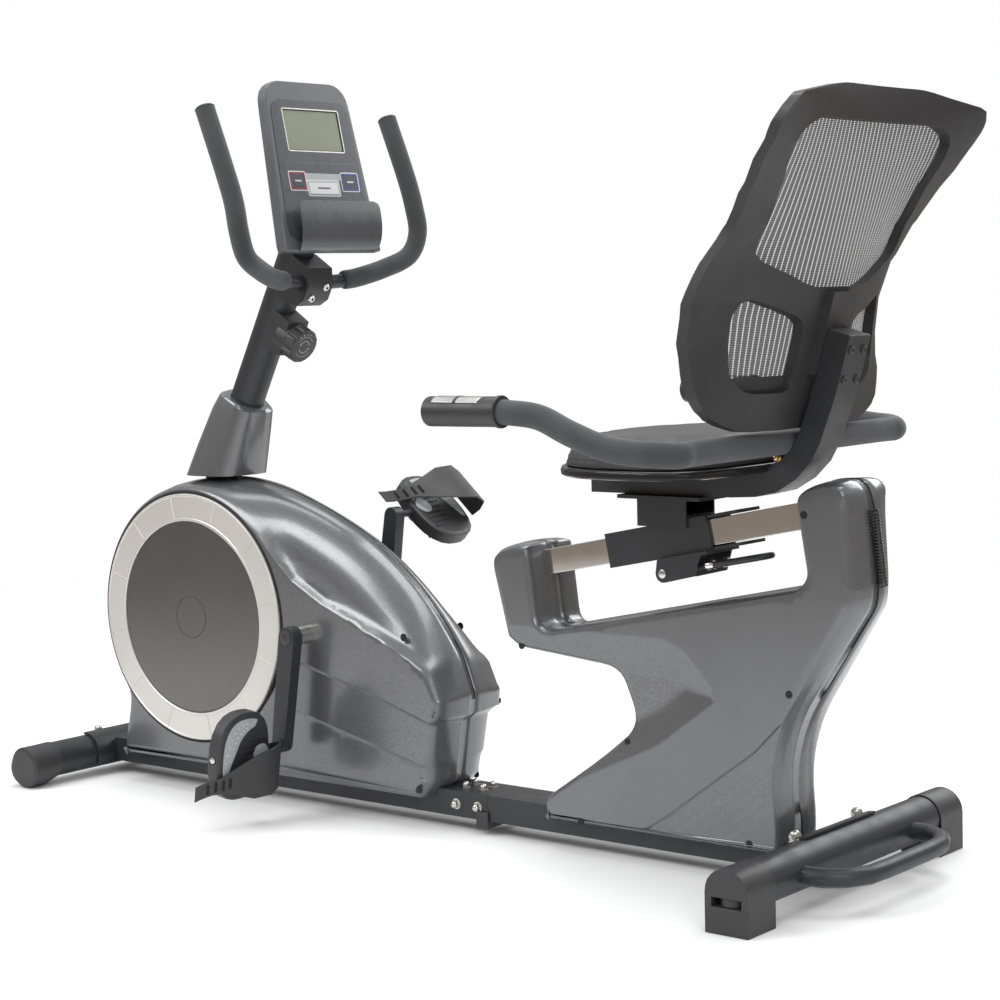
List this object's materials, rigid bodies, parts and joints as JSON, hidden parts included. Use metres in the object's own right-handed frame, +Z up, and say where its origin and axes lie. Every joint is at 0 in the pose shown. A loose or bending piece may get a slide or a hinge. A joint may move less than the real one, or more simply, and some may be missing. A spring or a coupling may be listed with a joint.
{
  "type": "recumbent exercise bike",
  "caption": "Recumbent exercise bike: sliding seat with mesh backrest, side grips, enclosed flywheel drive, turning pedals, tilting front handlebar, console and tension knob.",
  "frame": {"origin": "centre of the bounding box in X and Y, on the floor that the feet stand on", "axes": "+X from the console towards the seat's back, +Y towards the rider's right hand side, +Z up"},
  "size_m": [1.5744, 0.634, 1.1222],
  "materials": {
    "black_paint": "satin powder coat",
    "grey_gloss": "glossy metallic grey",
    "disc_gloss": "glossy dark",
    "black_plastic": "fine matte texture",
    "foam": "soft foam",
    "steel": "machined",
    "console_grey": "fine matte texture",
    "lcd": "grey-green display window",
    "key_light": "smooth",
    "key_dark": "smooth",
    "rest_grey": "semi-gloss",
    "belt": "ribbed belt",
    "silver": "silver metallic",
    "cord": "smooth cable jacket",
    "chrome": "polished chrome plate",
    "vinyl": "satin vinyl",
    "mesh": "woven mesh",
    "strap": "flexible strap"
  },
  "bodies": {
    "frame": {"beam_pad": "black_plastic", "console_housing": "console_grey", "disc_left": "disc_gloss", "disc_right": "disc_gloss", "drive_belt": "belt", "front_cap_left": "black_plastic", "front_cap_right": "black_plastic", "front_frame": "black_paint", "front_stabilizer": "black_paint", "handlebar_clamp": "black_paint", "lcd_lens": "lcd", "mast": "black_paint", "mast_cover": "grey_gloss", "media_rest": "rest_grey", "pulse_cord_coil": "cord", "rear_foot_left": "black_plastic", "rear_foot_right": "black_plastic", "rear_frame": "black_paint", "rear_shroud_left": "grey_gloss", "rear_shroud_right": "grey_gloss", "rear_stabilizer": "black_paint", "ring_left": "silver", "ring_right": "silver", "shroud_left": "grey_gloss", "shroud_right": "grey_gloss", "slide_rail": "chrome", "tension_housing": "black_plastic"},
    "crankset": {"crank_axle": "steel", "crank_left": "black_paint", "crank_right": "black_paint"},
    "flywheel": {"flywheel": "steel"},
    "magnet_bracket": {"magnet_bracket": "steel"},
    "tension_knob": {"tension_knob": "black_plastic"},
    "pedal_left": {"pedal_left": "black_plastic", "pedal_strap_left": "strap"},
    "pedal_right": {"pedal_right": "black_plastic", "pedal_strap_right": "strap"},
    "handlebar": {"handlebar": "black_paint", "handlebar_grip_left": "foam", "handlebar_grip_right": "foam"},
    "key_set": {"key_set": "key_dark"},
    "key_mode": {"key_mode": "key_light"},
    "key_reset": {"key_reset": "key_dark"},
    "seat": {"carriage": "black_paint", "seat_frame": "black_paint", "seat_cushion": "vinyl", "backrest_frame": "black_plastic", "backrest_mesh": "mesh", "seat_handle": "foam", "seat_grip_left": "black_plastic", "seat_grip_right": "black_plastic", "pulse_plate_left": "steel", "pulse_plate_right": "steel"},
    "latch": {"latch_lever": "black_paint"},
    "transport_wheel_left": {"transport_wheel_left": "black_plastic"},
    "transport_wheel_right": {"transport_wheel_right": "black_plastic"},
    "leveller_wheel_left": {"leveller_wheel_left": "black_plastic"},
    "leveller_wheel_right": {"leveller_wheel_right": "black_plastic"},
    "leveller_stud_left": {"leveller_stud_left": "steel"},
    "leveller_stud_right": {"leveller_stud_right": "steel"}
  },
  "joints": [
    {"name": "crank_spin", "type": "hinge", "parent": "frame", "child": "crankset", "pos_m": [-0.22325, 0, 0.2787], "axis": [0, 1, 0], "continuous": true},
    {"name": "flywheel_spin", "type": "hinge", "parent": "frame", "child": "flywheel", "pos_m": [-0.47625, 0, 0.287], "axis": [0, 1, 0], "continuous": true},
    {"name": "tension_turn", "type": "hinge", "parent": "frame", "child": "tension_knob", "pos_m": [-0.29826, 0, 0.72608], "axis": [-0.8854, 0, 0.4648], "range_deg": [0, 270]},
    {"name": "magnet_bracket_swing", "type": "hinge", "parent": "frame", "child": "magnet_bracket", "pos_m": [-0.49225, 0, 0.437], "axis": [0, -1, 0], "range_deg": [0, 1.25]},
    {"name": "pedal_left_spin", "type": "hinge", "parent": "crankset", "child": "pedal_left", "pos_m": [-0.24885, -0.118, 0.11064], "axis": [0, 1, 0], "continuous": true},
    {"name": "pedal_right_spin", "type": "hinge", "parent": "crankset", "child": "pedal_right", "pos_m": [-0.19765, 0.118, 0.44676], "axis": [0, 1, 0], "continuous": true},
    {"name": "handlebar_tilt", "type": "hinge", "parent": "frame", "child": "handlebar", "pos_m": [-0.25725, 0, 0.8165], "axis": [0, 1, 0], "range_deg": [-20, 20]},
    {"name": "key_set_press", "type": "slide", "parent": "frame", "child": "key_set", "axis": [-0.9792, 0, -0.2028], "range_m": [0, 0.0012], "stiffness_N_per_m": 600, "springref_m": -0.0003},
    {"name": "key_mode_press", "type": "slide", "parent": "frame", "child": "key_mode", "axis": [-0.9792, 0, -0.2028], "range_m": [0, 0.0012], "stiffness_N_per_m": 600, "springref_m": -0.0003},
    {"name": "key_reset_press", "type": "slide", "parent": "frame", "child": "key_reset", "axis": [-0.9792, 0, -0.2028], "range_m": [0, 0.0012], "stiffness_N_per_m": 600, "springref_m": -0.0003},
    {"name": "seat_slide", "type": "slide", "parent": "frame", "child": "seat", "axis": [0.981, 0, 0.1942], "range_m": [-0.09, 0.06]},
    {"name": "latch_lift", "type": "hinge", "parent": "seat", "child": "latch", "pos_m": [0.42475, 0, 0.4065], "axis": [0, 1, 0], "range_deg": [0, 10], "stiffness_Nm_per_rad": 0.8, "springref_deg": -22.92},
    {"name": "transport_wheel_left_spin", "type": "hinge", "parent": "frame", "child": "transport_wheel_left", "pos_m": [-0.76275, -0.1965, 0.029], "axis": [0, 1, 0], "continuous": true},
    {"name": "transport_wheel_right_spin", "type": "hinge", "parent": "frame", "child": "transport_wheel_right", "pos_m": [-0.76275, 0.1965, 0.029], "axis": [0, 1, 0], "continuous": true},
    {"name": "leveller_left_turn", "type": "hinge", "parent": "frame", "child": "leveller_wheel_left", "pos_m": [0.67675, -0.254, 0.04], "axis": [0, 0, 1], "range_deg": [0, 1440]},
    {"name": "leveller_right_turn", "type": "hinge", "parent": "frame", "child": "leveller_wheel_right", "pos_m": [0.67675, 0.254, 0.04], "axis": [0, 0, 1], "range_deg": [0, 1440]},
    {"name": "leveller_stud_left_rise", "type": "slide", "parent": "frame", "child": "leveller_stud_left", "axis": [0, 0, 1], "range_m": [-0.0052, 0]},
    {"name": "leveller_stud_right_rise", "type": "slide", "parent": "frame", "child": "leveller_stud_right", "axis": [0, 0, 1], "range_m": [-0.0052, 0]}
  ],
  "couplings": [
    {"joint": "flywheel_spin", "follows": "crank_spin", "ratio": 6.751},
    {"joint": "magnet_bracket_swing", "follows": "tension_turn", "ratio": 0.004444},
    {"joint": "leveller_stud_left_rise", "follows": "leveller_left_turn", "m_per_rad": -0.00019894},
    {"joint": "leveller_stud_right_rise", "follows": "leveller_right_turn", "m_per_rad": -0.00019894}
  ]
}
